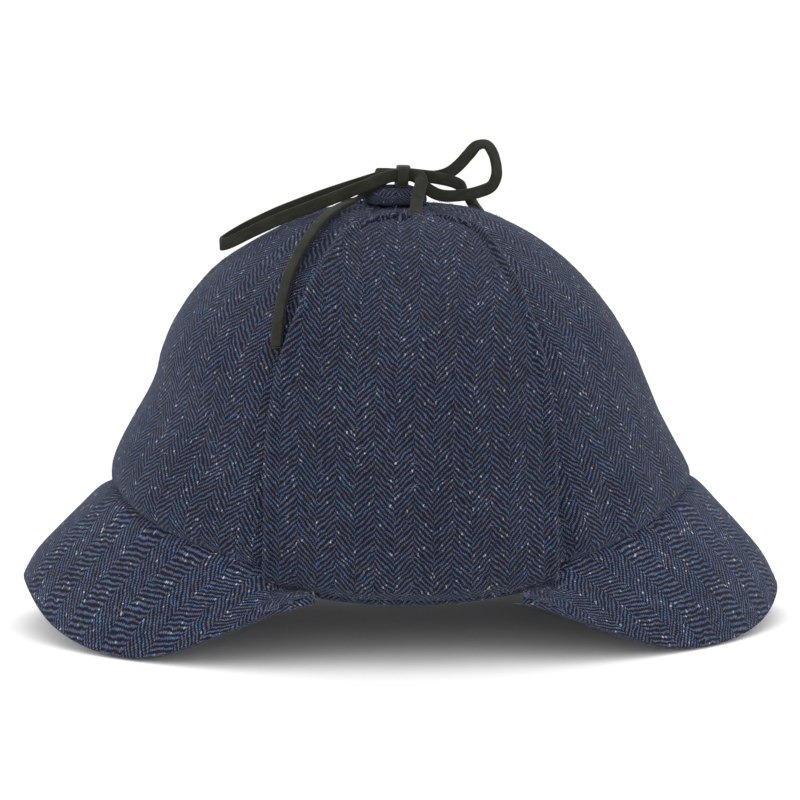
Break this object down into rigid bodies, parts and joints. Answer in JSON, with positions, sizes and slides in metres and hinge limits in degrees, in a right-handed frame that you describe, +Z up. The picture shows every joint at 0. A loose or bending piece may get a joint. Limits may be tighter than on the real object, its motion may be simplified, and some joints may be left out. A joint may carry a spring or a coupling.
{
  "type": "deerstalker hat",
  "caption": "Tweed deerstalker hat with a front and a back peak, ear flaps folded up and tied over the crown with a suede lace bow.",
  "frame": {"origin": "on the table, under the middle of the hat's footprint", "axes": "+X towards the front peak, +Z up, -Y the wearer's right"},
  "size_m": [0.2932, 0.1716, 0.1855],
  "materials": {
    "crown_tweed": "navy herringbone wool tweed, matt and slightly hairy",
    "peak_tweed": "navy herringbone wool tweed over a stiffened peak",
    "flap_tweed": "navy herringbone wool tweed, two layers",
    "button_tweed": "navy herringbone wool tweed stretched over a button",
    "suede_lace": "black-brown suede lace, matt nap"
  },
  "bodies": {
    "root": {"crown_panel_1": "crown_tweed", "crown_panel_2": "crown_tweed", "crown_panel_3": "crown_tweed", "crown_panel_4": "crown_tweed", "crown_panel_5": "crown_tweed", "crown_panel_6": "crown_tweed", "front_peak": "peak_tweed", "back_peak": "peak_tweed", "right_ear_flap": "flap_tweed", "left_ear_flap": "flap_tweed", "crown_button": "button_tweed", "right_lace": "suede_lace", "left_lace": "suede_lace", "knot": "suede_lace"}
  },
  "joints": []
}
